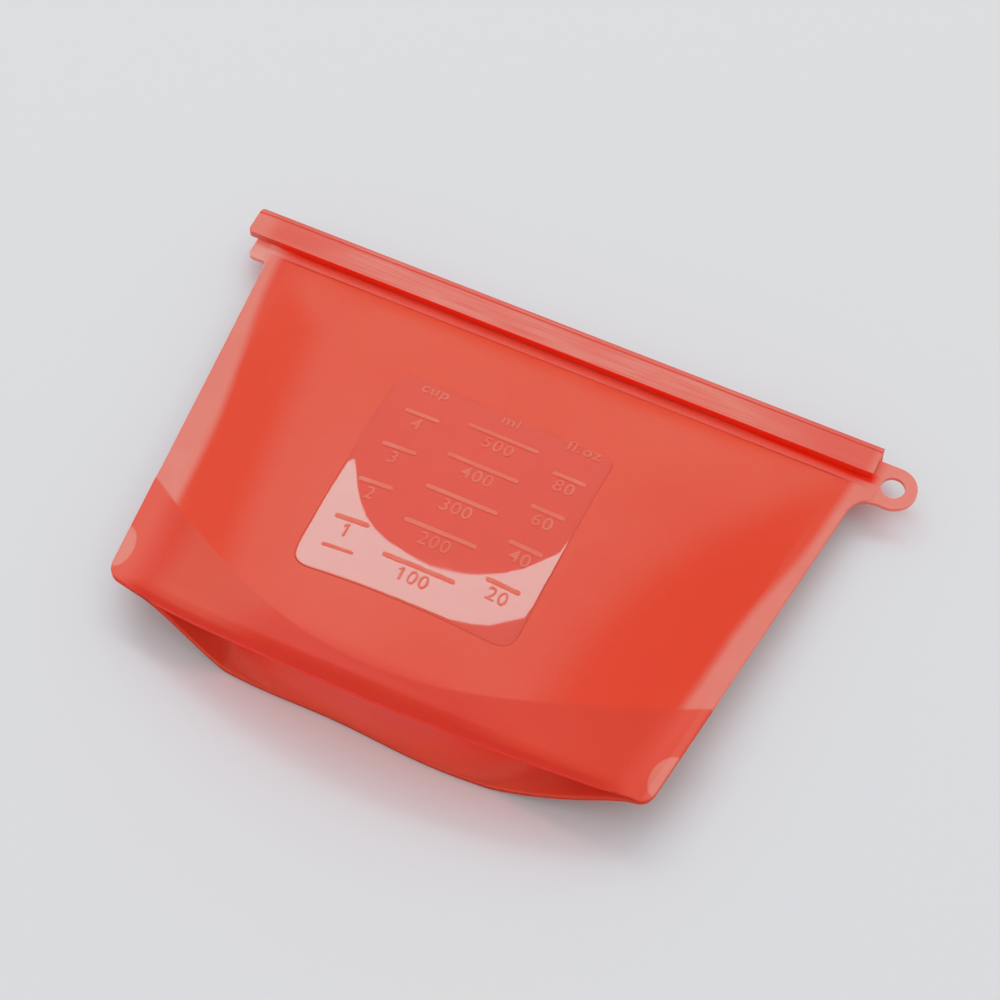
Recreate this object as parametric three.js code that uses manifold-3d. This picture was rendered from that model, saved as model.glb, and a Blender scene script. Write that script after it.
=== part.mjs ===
// Reusable silicone storage bag, closed by a slide-on seal bar and lying on its back.
// Millimetres. +X runs along the mouth towards the hang tab, +Y towards the mouth, +Z up.
// The origin is on the resting face of the back panel, on the bag's centreline.
import * as THREE from 'three';
import { mergeVertices } from 'three/addons/utils/BufferGeometryUtils.js';
import Module from 'manifold-3d';

const wasm = await Module();
wasm.setup();

// Driving dimensions
const GAP = 0.3; // clearance between pieces that touch
const PANEL_T = 1.2; // wall of the front and back panels
const GUSSET_T = 0.9; // wall of the folded bottom gusset
const GUSSET_CLEARANCE = 0.42; // between the gusset and each panel beside it

const MOUTH_Z = 11; // height of the closed mouth above the resting face
const CORNER_Z = 18; // height of the two bottom corners
const BAR_FAR_Y = 69.5; // far face of the seal bar
const PANEL_TOP_Y = 52.7; // where the panels meet the lip bands
const CORNER_Y = -85; // bottom corners
const BOTTOM_BOW = 11; // how far the bottom edges bow out at mid-width
const TOP_HALF_WIDTH = 111.2;
const BOTTOM_HALF_WIDTH = 95.4;
const SEAM_WIDTH_SHARE = 0.08; // flat side seam, as a share of the half width

const FRONT_CROWN = 18.5; // rise of the front panel above the side seams
const RIDGE_CROWN = 14; // rise of its bottom edge
const BACK_CROWN = 21; // drop of the back panel, before the floor stops it
// Powers of each crown's curve across the width: how flat it is in the middle, how softly it ends
const FRONT_CURVE = [2.3, 1.15];
const RIDGE_CURVE = [2, 1.3];
const BACK_CURVE = [3, 1.2];
// Share of the length, from the mouth, at which each panel is full, and the power of its rise to there
const FRONT_FULL_AT = 0.55;
const FRONT_RISE = 2.5;
const BACK_FULL_AT = 0.4;
const BACK_RISE = 2.2;

const FOLD_SIDE_Y = -46; // gusset fold at the side seams
const FOLD_BOW = 32; // how far the fold bows down at mid-width
const FOLD_CURVE = 1.1; // power of the fold's bow
const SEAM_STEP_LENGTH = 8; // the side seam thins over this length above the fold

const BAR_LENGTH = 235;
const BAR_CENTRE_X = -4.4;
const BAR_WALL = 1.6;
const BAR_HALF_HEIGHT = 4.5;
const FRONT_LEG_DEPTH = 10.8;
const BACK_LEG_DEPTH = 6.5;
const HOOK_DEPTH = 1.6; // hooks on the legs that hold the lips in the bar
const HOOK_TIP_Z = 1.6; // hook tips, from the mouth's mid-plane
const BAR_EDGE = 0.5; // chamfer on the bar's outer edges

const BAND_HALF_LENGTH = 113;
const BAND_T = 1.15; // wall of each lip band
const BEAD_TOP = 2.6; // bead surface, from the mouth's mid-plane
const BEAD_START = 2.1; // bead, from the bar's far face
const BEAD_EDGE = 0.5; // chamfer on the bead's outer edges
const FRONT_BEAD_PLAY = 0.5; // between the front bead and the bar's hook
const BEAD_BAND_OVERLAP = 0.6; // the bead and the band are fused over this length
const BAND_END = 16; // lip band ends here, from the bar's far face
const BEAD_LEFT_X = -119.8;
const TONGUE_AT = 13.2; // centre of the interlocking tongue, from the bar's far face
const TONGUE_HALF_WIDTH = 0.6;
const TONGUE_HEIGHT = 0.45;

const TAB_T = 1.7;
const TAB_HOLE_X = 120.65;
const TAB_HOLE_Y = 58.7;
const TAB_HOLE_R = 4.1;
const TAB_R = 8.2;
const TAB_BOTTOM_Y = 51.3;
const END_TAB_LEFT_X = -118.5;
const END_TAB_RIGHT_X = -113.3;
const END_TAB_R = 2.2;

const PANEL_COLUMNS = 32;
const PANEL_ROWS = 22;
const GUSSET_ROWS = 14;

const silicone = (r, g, b) =>
  new THREE.MeshStandardMaterial({ color: new THREE.Color(r, g, b), roughness: 0.55, metalness: 0 });

// Curves that the surfaces share
const clamp01 = (value) => Math.min(Math.max(value, 0), 1);
const mix = (a, b, share) => a + (b - a) * share;
const smooth = (from, to, value) => {
  const share = clamp01((value - from) / (to - from));
  return share * share * (3 - 2 * share);
};
const alongY = (y) => (PANEL_TOP_Y - y) / (PANEL_TOP_Y - CORNER_Y);
const seamZ = (y) => mix(MOUTH_Z, CORNER_Z, alongY(y));
const halfWidth = (y) => mix(TOP_HALF_WIDTH, BOTTOM_HALF_WIDTH, alongY(y));
const bottomY = (s) => CORNER_Y - BOTTOM_BOW * (1 - s * s);
const foldY = (s) => FOLD_SIDE_Y - FOLD_BOW * (1 - s * s) ** FOLD_CURVE;

// Half the space between the two panels in the side seam, wider where the gusset's two layers lie in it
function halfSeamGap(y) {
  const layered = (2 * GUSSET_T + 3 * GAP) / 2;
  return mix(layered, GAP / 2, smooth(FOLD_SIDE_Y, FOLD_SIDE_Y + SEAM_STEP_LENGTH, y));
}

// Share of the width from the centreline to the inner edge of the side seam
const acrossPocket = (s) => Math.min(Math.abs(s) / (1 - SEAM_WIDTH_SHARE), 1);

// Full at the centreline, nothing in the side seams
const crownAcross = (s, [flatness, softness]) => (1 - acrossPocket(s) ** flatness) ** softness;

// Nothing at the mouth, full from a share of the length on
const riseAlong = (t, fullAt, power) => 1 - (1 - Math.min(t / fullAt, 1)) ** power;

function frontCrown(s, t) {
  const body = FRONT_CROWN * crownAcross(s, FRONT_CURVE);
  const ridge = RIDGE_CROWN * crownAcross(s, RIDGE_CURVE);
  return riseAlong(t, FRONT_FULL_AT, FRONT_RISE) * mix(body, ridge, smooth(FRONT_FULL_AT, 1, t));
}

function backCrown(s, t) {
  return BACK_CROWN * riseAlong(t, BACK_FULL_AT, BACK_RISE) * crownAcross(s, BACK_CURVE);
}

function panelPoint(s, t) {
  const y = mix(PANEL_TOP_Y, bottomY(s), t);
  return new THREE.Vector3(s * halfWidth(y), y, seamZ(y));
}

function frontPoint(s, t) {
  const point = panelPoint(s, t);
  point.z += halfSeamGap(point.y) + PANEL_T / 2 + frontCrown(s, t);
  return point;
}

function backPoint(s, t) {
  const point = panelPoint(s, t);
  point.z -= halfSeamGap(point.y) + PANEL_T / 2 + backCrown(s, t);
  point.z = Math.max(point.z, PANEL_T / 2);
  return point;
}

// The gusset runs in from the front panel's bottom edge to the fold, and back out to the back panel's
function gussetPoint(s, t) {
  const inset = PANEL_T / 2 + GUSSET_CLEARANCE + GUSSET_T / 2;
  const edgeY = bottomY(s);
  const top = frontPoint(s, 1).z - inset - seamZ(edgeY);
  const bottom = backPoint(s, 1).z + inset - seamZ(edgeY);
  const y = mix(edgeY, foldY(s), Math.sin(Math.PI * t));
  const turn = (1 - Math.cos(Math.PI * t)) / 2;
  return new THREE.Vector3(s * halfWidth(y), y, seamZ(y) + mix(top, bottom, turn));
}

// A closed sheet of even thickness about a middle surface, s from -1 to 1 and t from 0 to 1
function sheet(pointAt, columns, rows, thickness) {
  const step = 1e-3; // of s and t, for the slopes
  const normalAt = (s, t) => {
    const [s0, s1] = [Math.max(s - step, -1), Math.min(s + step, 1)];
    const [t0, t1] = [Math.max(t - step, 0), Math.min(t + step, 1)];
    const alongS = pointAt(s1, t).sub(pointAt(s0, t));
    const alongT = pointAt(s, t1).sub(pointAt(s, t0));
    return alongT.cross(alongS).normalize();
  };
  const positions = [];
  const side = (columns + 1) * (rows + 1);
  for (const offset of [thickness / 2, -thickness / 2]) {
    for (let j = 0; j <= rows; j += 1) {
      for (let i = 0; i <= columns; i += 1) {
        const s = (2 * i) / columns - 1;
        const t = j / rows;
        positions.push(...pointAt(s, t).addScaledVector(normalAt(s, t), offset).toArray());
      }
    }
  }
  const indices = [];
  const quad = (a, b, c, d) => indices.push(a, b, c, a, c, d);
  const at = (i, j) => j * (columns + 1) + i;
  for (let j = 0; j < rows; j += 1) {
    for (let i = 0; i < columns; i += 1) {
      const [a, b, c, d] = [at(i, j), at(i, j + 1), at(i + 1, j + 1), at(i + 1, j)];
      quad(a, b, c, d);
      quad(side + d, side + c, side + b, side + a);
    }
  }
  const rim = (a, b) => quad(b, a, side + a, side + b);
  for (let i = 0; i < columns; i += 1) {
    rim(at(i + 1, 0), at(i, 0));
    rim(at(i, rows), at(i + 1, rows));
  }
  for (let j = 0; j < rows; j += 1) {
    rim(at(0, j), at(0, j + 1));
    rim(at(columns, j + 1), at(columns, j));
  }
  const geometry = new THREE.BufferGeometry();
  geometry.setAttribute('position', new THREE.Float32BufferAttribute(positions, 3));
  geometry.setIndex(indices);
  geometry.computeVertexNormals();
  return geometry;
}

// Booleans
function toSolid(geometry) {
  const bare = geometry.clone();
  bare.deleteAttribute('normal');
  bare.deleteAttribute('uv');
  const merged = mergeVertices(bare, 1e-5);
  return new wasm.Manifold(new wasm.Mesh({
    numProp: 3,
    vertProperties: new Float32Array(merged.attributes.position.array),
    triVerts: new Uint32Array(merged.index.array),
  }));
}

function toGeometry(solid) {
  const mesh = solid.getMesh();
  const geometry = new THREE.BufferGeometry();
  geometry.setAttribute('position', new THREE.BufferAttribute(mesh.vertProperties, 3));
  geometry.setIndex(new THREE.BufferAttribute(mesh.triVerts, 1));
  geometry.computeVertexNormals();
  return geometry;
}

// A section given as [distance in from the bar's far face, height from the mouth's mid-plane]
function extrudeAlongX(section, fromX, toX) {
  const shape = new THREE.Shape(section.map(([v, w]) => new THREE.Vector2(BAR_FAR_Y - v, MOUTH_Z + w)));
  const geometry = new THREE.ExtrudeGeometry(shape, { depth: toX - fromX, bevelEnabled: false });
  const turned = new THREE.Matrix4().makeBasis(
    new THREE.Vector3(0, 1, 0), new THREE.Vector3(0, 0, 1), new THREE.Vector3(1, 0, 0));
  return geometry.applyMatrix4(turned).translate(fromX, 0, 0);
}

// A flat plate of the tabs' thickness, centred on the mouth's mid-plane
function tabPlate(shape) {
  return new THREE.ExtrudeGeometry(shape, { depth: TAB_T, bevelEnabled: false, curveSegments: 20 })
    .translate(0, 0, MOUTH_Z - TAB_T / 2);
}

// A lip: the bead that the bar holds, and the band between the bar and the panel.
// face is +1 for the front lip and -1 for the back one. The tongue stands on the front lip's inner
// face and the groove is its larger shape in the back lip's, so they press together.
function lip(face, beadEnd, bandInside) {
  const inside = GAP / 2;
  const bandFace = inside + BAND_T;
  const beadWebEnd = FRONT_LEG_DEPTH - BEAD_BAND_OVERLAP;
  const bandStart = beadWebEnd - BEAD_BAND_OVERLAP;
  const onFace = (points) => points.map(([v, w]) => [v, face * w]);
  const bead = onFace([
    [BEAD_START + BEAD_EDGE, inside], [BEAD_START, inside + BEAD_EDGE], [BEAD_START, BEAD_TOP - BEAD_EDGE],
    [BEAD_START + BEAD_EDGE, BEAD_TOP], [beadEnd - BEAD_EDGE, BEAD_TOP], [beadEnd, BEAD_TOP - BEAD_EDGE],
    [beadEnd, bandFace], [beadWebEnd, bandFace], [beadWebEnd, inside],
  ]);
  const band = onFace([
    [bandStart, inside], [bandStart, bandFace], [BAND_END, bandFace], [BAND_END, inside], ...bandInside,
  ]);
  const beadSolid = toSolid(extrudeAlongX(bead, BEAD_LEFT_X, BAND_HALF_LENGTH));
  const bandSolid = toSolid(extrudeAlongX(band, -BAND_HALF_LENGTH, BAND_HALF_LENGTH));
  return toGeometry(beadSolid.add(bandSolid));
}

function frontLip() {
  const tip = GAP / 2 - TONGUE_HEIGHT;
  return lip(1, FRONT_LEG_DEPTH - HOOK_DEPTH - FRONT_BEAD_PLAY, [
    [TONGUE_AT + TONGUE_HALF_WIDTH, GAP / 2], [TONGUE_AT + TONGUE_HALF_WIDTH, tip],
    [TONGUE_AT - TONGUE_HALF_WIDTH, tip], [TONGUE_AT - TONGUE_HALF_WIDTH, GAP / 2],
  ]);
}

function backLip() {
  const grooveHalfWidth = TONGUE_HALF_WIDTH + GAP;
  const grooveFloor = TONGUE_HEIGHT + GAP / 2;
  return lip(-1, BACK_LEG_DEPTH - HOOK_DEPTH - GAP, [
    [TONGUE_AT + grooveHalfWidth, GAP / 2], [TONGUE_AT + grooveHalfWidth, grooveFloor],
    [TONGUE_AT - grooveHalfWidth, grooveFloor], [TONGUE_AT - grooveHalfWidth, GAP / 2],
  ]);
}

// C-shaped bar with a hook on each leg, open at the tab end and closed by a wall at the other
function sealBar() {
  const high = BAR_HALF_HEIGHT;
  const inner = BAR_HALF_HEIGHT - BAR_WALL;
  const frontLeg = [
    [BAR_EDGE, high], [FRONT_LEG_DEPTH - BAR_EDGE, high], [FRONT_LEG_DEPTH, high - BAR_EDGE],
    [FRONT_LEG_DEPTH, HOOK_TIP_Z],
  ];
  const inside = [
    [FRONT_LEG_DEPTH - HOOK_DEPTH, HOOK_TIP_Z], [FRONT_LEG_DEPTH - HOOK_DEPTH, inner],
    [BAR_WALL, inner], [BAR_WALL, -inner],
    [BACK_LEG_DEPTH - HOOK_DEPTH, -inner], [BACK_LEG_DEPTH - HOOK_DEPTH, -HOOK_TIP_Z],
    [BACK_LEG_DEPTH, -HOOK_TIP_Z],
  ];
  const backLeg = [
    [BACK_LEG_DEPTH, BAR_EDGE - high], [BACK_LEG_DEPTH - BAR_EDGE, -high], [BAR_EDGE, -high],
    [0, BAR_EDGE - high], [0, high - BAR_EDGE],
  ];
  const fromX = BAR_CENTRE_X - BAR_LENGTH / 2;
  const channel = toSolid(extrudeAlongX([...frontLeg, ...inside, ...backLeg], fromX, fromX + BAR_LENGTH));
  const endWall = toSolid(extrudeAlongX([...frontLeg, ...backLeg], fromX, fromX + BAR_WALL));
  return toGeometry(channel.add(endWall));
}

// Hang tab: a round eye with a hole, level with the mouth and past the bar's open end
function hangTab() {
  const baseX = BAND_HALF_LENGTH + GAP;
  const neckAngle = Math.asin((TAB_HOLE_Y - TAB_BOTTOM_Y) / TAB_R);
  const shape = new THREE.Shape();
  shape.moveTo(baseX, TAB_BOTTOM_Y);
  shape.lineTo(TAB_HOLE_X - TAB_R * Math.cos(neckAngle), TAB_BOTTOM_Y);
  shape.absarc(TAB_HOLE_X, TAB_HOLE_Y, TAB_R, neckAngle - Math.PI, Math.PI / 2, false);
  shape.lineTo(baseX, TAB_HOLE_Y + TAB_R);
  const hole = new THREE.Path();
  hole.absarc(TAB_HOLE_X, TAB_HOLE_Y, TAB_HOLE_R, 0, 2 * Math.PI, true);
  shape.holes.push(hole);
  return tabPlate(shape);
}

// End tab: a short ear at the other end of the bands, just below the bar
function endTab() {
  const topY = BAR_FAR_Y - FRONT_LEG_DEPTH + BEAD_BAND_OVERLAP - GAP;
  const roundX = END_TAB_LEFT_X + END_TAB_R;
  const roundY = TAB_BOTTOM_Y + END_TAB_R;
  const shape = new THREE.Shape();
  shape.moveTo(END_TAB_RIGHT_X, topY);
  shape.lineTo(END_TAB_LEFT_X, topY);
  shape.lineTo(END_TAB_LEFT_X, roundY);
  shape.absarc(roundX, roundY, END_TAB_R, Math.PI, 1.5 * Math.PI, false);
  shape.lineTo(END_TAB_RIGHT_X, TAB_BOTTOM_Y);
  return tabPlate(shape);
}

function addMesh(group, name, geometry, material) {
  const mesh = new THREE.Mesh(geometry, material);
  mesh.name = name;
  group.add(mesh);
}

const panelSheet = (pointAt) => sheet(pointAt, PANEL_COLUMNS, PANEL_ROWS, PANEL_T);
const gussetSheet = () => sheet(gussetPoint, PANEL_COLUMNS, GUSSET_ROWS, GUSSET_T);

const bag = new THREE.Group();
addMesh(bag, 'front_panel', panelSheet(frontPoint), silicone(0.86, 0.35, 0.28));
addMesh(bag, 'back_panel', panelSheet(backPoint), silicone(0.84, 0.33, 0.26));
addMesh(bag, 'bottom_gusset', gussetSheet(), silicone(0.78, 0.24, 0.18));
addMesh(bag, 'front_lip', frontLip(), silicone(0.85, 0.4, 0.34));
addMesh(bag, 'back_lip', backLip(), silicone(0.82, 0.36, 0.3));
addMesh(bag, 'hang_tab', hangTab(), silicone(0.88, 0.46, 0.4));
addMesh(bag, 'end_tab', endTab(), silicone(0.88, 0.46, 0.4));

const clip = new THREE.Group();
const barPlastic = new THREE.MeshStandardMaterial({
  color: new THREE.Color(0.87, 0.46, 0.42), roughness: 0.35, metalness: 0,
});
addMesh(clip, 'seal_bar', sealBar(), barPlastic);
bag.add(clip);

export default bag;
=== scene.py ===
"""Looks of a reusable silicone bag that lies on its back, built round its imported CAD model.

Sizes are in millimetres and become metres where a mesh is made. X runs along the mouth towards the
hang tab, Y towards the mouth and Z up, as in the CAD frame.
"""

import math

import bmesh
import bpy
import numpy as np
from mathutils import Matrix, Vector


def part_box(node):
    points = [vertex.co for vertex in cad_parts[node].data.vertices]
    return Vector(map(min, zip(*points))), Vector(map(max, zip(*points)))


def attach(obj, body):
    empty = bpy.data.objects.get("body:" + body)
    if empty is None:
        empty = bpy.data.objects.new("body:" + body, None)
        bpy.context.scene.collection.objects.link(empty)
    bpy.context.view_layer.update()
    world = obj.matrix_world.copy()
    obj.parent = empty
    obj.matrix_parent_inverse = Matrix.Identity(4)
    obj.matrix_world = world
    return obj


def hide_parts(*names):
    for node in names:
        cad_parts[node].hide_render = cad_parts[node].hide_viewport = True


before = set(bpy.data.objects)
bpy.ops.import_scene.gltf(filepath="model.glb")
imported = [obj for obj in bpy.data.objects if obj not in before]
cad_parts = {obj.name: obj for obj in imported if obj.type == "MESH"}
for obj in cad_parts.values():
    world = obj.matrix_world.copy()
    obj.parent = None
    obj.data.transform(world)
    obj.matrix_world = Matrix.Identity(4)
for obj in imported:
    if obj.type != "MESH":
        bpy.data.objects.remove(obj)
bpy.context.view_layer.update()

MM = 0.001
BAG = "bag"


def box_mm(node):
    low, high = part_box(node)
    return np.array(low) / MM, np.array(high) / MM


BAR_LOW, BAR_HIGH = box_mm("seal_bar")
FRONT_LEG = BAR_HIGH[1] - BAR_LOW[1]
LIP_LOW, LIP_HIGH = box_mm("front_lip")
TAB_LOW, TAB_HIGH = box_mm("hang_tab")
EAR_LOW, EAR_HIGH = box_mm("end_tab")

# Driving dimensions of the bag
MOUTH_Z = (TAB_LOW[2] + TAB_HIGH[2]) / 2
CORNER_Z = 18.0
BAND_Y = LIP_LOW[1] + 1.4  # lower edge of the lip bands
TOP_Y = BAND_Y + 0.5  # the panels reach a little way under the bands
CORNER_Y = -85.0
BOTTOM_BOW = 11.0
CORNER_R = 3.6
TOP_HALF_WIDTH = 111.4
BOTTOM_HALF_WIDTH = 95.4
PANEL_T = 1.2
EDGE_T = 0.83  # each panel thins to this in the side seams
GUSSET_T = 0.8
FOLD_SIDE_Y = -46.0
FOLD_BOW = 40.3
FOLD_CURVE = 1.15
FRONT_CROWN = 18.5  # rise of the front panel over the side seams
RIDGE_CROWN = 14.5  # rise of its bottom edge
BACK_CROWN = 21.0  # drop of the back panel, before the floor stops it
CREST_LOW_Y = -47.0  # the front panel's highest line at mid-width
CREST_RISE = 40.0  # how far it curves up at both sides
BACK_STRAIGHTER = 2.8
FLOOR_GAP = 0.02
GUSSET_SET_BACK = 0.15  # the gusset starts this far inside the bottom edges

# Panels, as shares of the half width from the middle
PANEL_FLAT_FROM = 0.93
SEAM_BAND = (0.84, 0.94)
RIDGE_END = 0.97
BACK_PINCH = (0.87, 0.42)  # on the left, where the back panel starts to drop and where it is free
BACK_STRAIGHT_AT = -0.1
BACK_STRAIGHT_WIDTH = 0.3
GUSSET_SIDE = (0.25, 0.8)  # between these the gusset's fold grows to its full depth

# Powers that shape the crowns: higher is flatter on top, or sinks more gently at the foot
CROWN_TOP = 2.3
CROWN_FOOT = 1.15
CROWN_TO_MOUTH = 2.6
RIDGE_FOOT_LEFT = 1.5
RIDGE_FOOT_RIGHT = 0.7
BACK_DROP_TOP = 2.2
BACK_FOOT_RIGHT = 1.2

# Front panel's crest, in per cent of the half width from the middle
CREST_LOW_AT = 6.0
CREST_SPREAD_LEFT = 43.0
CREST_SPREAD_RIGHT = 29.0

# Curves that lead the side seams out into the tabs
TAB_FLARE_BELOW = 7.0  # starts this far below the tab
TAB_FLARE_R = 8.0
EAR_FLARE_BELOW = 2.2
EAR_FLARE_R = 2.6
FLARE_STEEPEST = 0.93  # share of the radius at which a curve goes on straight

SEAM_LAYER_T = GUSSET_T * 0.75  # what the gusset adds to each half of a side seam
BACK_DROP_LENGTH = 0.4  # share of the back panel's length
GUSSET_MIDDLE_LOSS = 0.7  # share of the fold that is missing at mid-width

# Front panel's rolled bottom edge
ROLL_AT = 5.0
ROLL_SWELL = 0.5
ROLL_SWELL_WIDTH = 2.4
ROLL_DROP = 1.3
ROLL_DROP_WIDTH = 1.5

# Seal bar, whose far face is where v = 0
BAR_WALL = 1.6
BACK_LEG = 6.5
HOOK_DEPTH = 1.6
HOOK_TIP = 1.6
BAND_START = 8.2  # the front band, from the bar's far face
GROOVE_AT = 1.7  # along the bar's top
GROOVE_HALF_WIDTH = 0.35
GROOVE_DEPTH = 0.3
BAR_END_R = 1.5


# Curves shared by the surfaces
def smooth(start, end, value):
    share = np.clip((value - start) / (end - start), 0, 1)
    return share * share * (3 - 2 * share)


def along(y):
    return (TOP_Y - y) / (TOP_Y - CORNER_Y)


def seam_z(y):
    return MOUTH_Z + (CORNER_Z - MOUTH_Z) * along(y)


def half_width(y):
    return TOP_HALF_WIDTH + (BOTTOM_HALF_WIDTH - TOP_HALF_WIDTH) * along(y)


def bottom_y(s):
    """Bottom edge: a bow between two rounded corners."""
    into_corner = np.clip(np.abs(s) * BOTTOM_HALF_WIDTH - (BOTTOM_HALF_WIDTH - CORNER_R), 0, CORNER_R)
    rounding = CORNER_R - np.sqrt(CORNER_R**2 - into_corner**2)
    return CORNER_Y - BOTTOM_BOW * (1 - s * s) + rounding


def fold_y(s):
    """Fold line of the gusset, as it shows through the front panel. In the middle the sheet turns sooner."""
    return FOLD_SIDE_Y - FOLD_BOW * np.clip(1 - s * s, 0, 1) ** FOLD_CURVE


def flare(s, y):
    """The side seams curve out at the top into the hang tab and the end tab."""
    right = fillet(y, TAB_LOW[1] - TAB_FLARE_BELOW, TAB_FLARE_R) * smooth(0.94, 1.0, s)
    left = fillet(y, EAR_LOW[1] - EAR_FLARE_BELOW, EAR_FLARE_R) * smooth(-0.97, -1.0, s)
    return right - left


def fillet(y, start, radius):
    rise = np.clip(y - start, 0, radius * FLARE_STEEPEST)
    return radius - np.sqrt(radius**2 - rise**2)


def layer_t(s, y):
    """Extra half thickness of the side seam where the gusset's layers lie in it."""
    below_fold = 1 - smooth(FOLD_SIDE_Y - 1, FOLD_SIDE_Y + 6, y)
    return SEAM_LAYER_T * below_fold * smooth(*SEAM_BAND, np.abs(s))


def crest_y(s):
    """Highest line of the front panel: lowest at mid-width, and curving up at both sides."""
    offset = 100 * s - CREST_LOW_AT
    spread = np.where(offset < 0, CREST_SPREAD_LEFT, CREST_SPREAD_RIGHT)
    return CREST_LOW_Y + CREST_RISE * (1 - np.exp(-0.8 * (offset / spread) ** 2))


def front_crown(s, y):
    """Height of the front panel over its side seams, highest along the crest."""
    across = np.clip(np.abs(s) / PANEL_FLAT_FROM, 0, 1)
    body = FRONT_CROWN * (1 - across**CROWN_TOP) ** CROWN_FOOT
    foot = np.where(s < 0, RIDGE_FOOT_LEFT, RIDGE_FOOT_RIGHT)
    ridge = RIDGE_CROWN * np.clip(1 - (np.abs(s) / RIDGE_END) ** 2, 0, 1) ** foot
    crest = crest_y(s)
    towards_mouth = np.clip((y - crest) / (TOP_Y - crest), 0, 1)
    towards_base = np.clip((crest - y) / (crest - bottom_y(s)), 0, 1)
    return body * (1 - towards_mouth**CROWN_TO_MOUTH) + (ridge - body) * towards_base**2


def back_crown(s, t):
    """The left end of the back panel stays pinched to the front for longer than the right one."""
    drop = 1 - (1 - np.clip(t / BACK_DROP_LENGTH, 0, 1)) ** BACK_DROP_TOP
    left = smooth(*BACK_PINCH, -s)
    right = (1 - np.clip(s / PANEL_FLAT_FROM, 0, 1) ** 3) ** BACK_FOOT_RIGHT
    return BACK_CROWN * drop * np.where(s < 0, left, right)


def back_bottom_y(s):
    """The back panel's bottom edge is straighter in its middle than the front's."""
    return bottom_y(s) + BACK_STRAIGHTER * np.exp(-((s - BACK_STRAIGHT_AT) / BACK_STRAIGHT_WIDTH) ** 2)


def edge_roll(s, y):
    """The front panel swells a little near its bottom edge and then rolls down to it."""
    above = y - bottom_y(s)
    middle = 1 - smooth(0.8, RIDGE_END, np.abs(s))
    swell = ROLL_SWELL * np.exp(-((above - ROLL_AT) / ROLL_SWELL_WIDTH) ** 2)
    return middle * (swell - ROLL_DROP * np.exp(-(above / ROLL_DROP_WIDTH) ** 2))


def panel_xy(s, t, bottom):
    y = TOP_Y + (bottom - TOP_Y) * t
    return s * half_width(y) + flare(s, y), y


def front_outer(s, t):
    x, y = panel_xy(s, t, bottom_y(s))
    z = seam_z(y) + EDGE_T + layer_t(s, y) + front_crown(s, y) + edge_roll(s, y)
    return np.stack([x, y, z], axis=-1)


def back_outer(s, t):
    x, y = panel_xy(s, t, back_bottom_y(s))
    z = seam_z(y) - EDGE_T - layer_t(s, y) - back_crown(s, t)
    return np.stack([x, y, np.maximum(z, FLOOR_GAP)], axis=-1)


def front_z(x, y):
    """Height of the front panel's outer face, away from the flared corners."""
    s = x / half_width(y)
    return front_outer(s, (TOP_Y - y) / (TOP_Y - bottom_y(s)))[..., 2]


def gusset_middle(s, t):
    """Middle surface of the gusset, from the front panel's bottom edge (t = 0) to the back's (t = 1)."""
    edge_y = bottom_y(s)
    inset = PANEL_T + GUSSET_T / 2
    closing = smooth(1.0, 0.8, np.abs(s))
    top = front_outer(s, np.ones_like(s))[..., 2] - inset * closing - EDGE_T * (1 - closing)
    bottom = back_outer(s, np.ones_like(s))[..., 2] + inset * closing + EDGE_T * (1 - closing)
    turn = (1 - np.cos(np.pi * t)) / 2
    start_y = edge_y + (back_bottom_y(s) - edge_y) * turn + GUSSET_SET_BACK
    fullness = 1 - GUSSET_MIDDLE_LOSS * (1 - smooth(*GUSSET_SIDE, np.abs(s)))
    y = start_y + (fold_y(s) - start_y) * fullness * np.sin(np.pi * t)
    level = seam_z(edge_y)
    z = seam_z(y) + (top - level) * (1 - turn) + (bottom - level) * turn
    front = seam_z(y) + EDGE_T + layer_t(s, y) + front_crown(s, y)
    z = np.minimum(z, front - inset * closing - EDGE_T * (1 - closing))
    return np.stack([s * half_width(y), y, z], axis=-1)


# Mesh building
def spaced(count, crowding=0.4):
    """Values from -1 to 1, closer together near the ends."""
    k = np.linspace(-1, 1, count)
    return (1 - crowding) * k + crowding * (1.5 * k - 0.5 * k**3)


def grid(columns, rows):
    """Values of s from -1 to 1 and t from 0 to 1 over a panel."""
    return np.meshgrid(spaced(columns), (spaced(rows) + 1) / 2)


def normals(points):
    along_s = np.gradient(points, axis=1)
    along_t = np.gradient(points, axis=0)
    n = np.cross(along_s, along_t)
    return n / np.linalg.norm(n, axis=-1, keepdims=True)


def make_object(name, vertices, faces, material):
    mesh = bpy.data.meshes.new(name)
    mesh.from_pydata((np.asarray(vertices) * MM).tolist(), [], faces)
    work = bmesh.new()
    work.from_mesh(mesh)
    bmesh.ops.remove_doubles(work, verts=work.verts, dist=1e-7)
    bmesh.ops.recalc_face_normals(work, faces=work.faces)
    work.to_mesh(mesh)
    work.free()
    for polygon in mesh.polygons:
        polygon.use_smooth = True
    mesh.materials.append(material)
    made = bpy.data.objects.new(name, mesh)
    bpy.context.scene.collection.objects.link(made)
    return made


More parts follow.
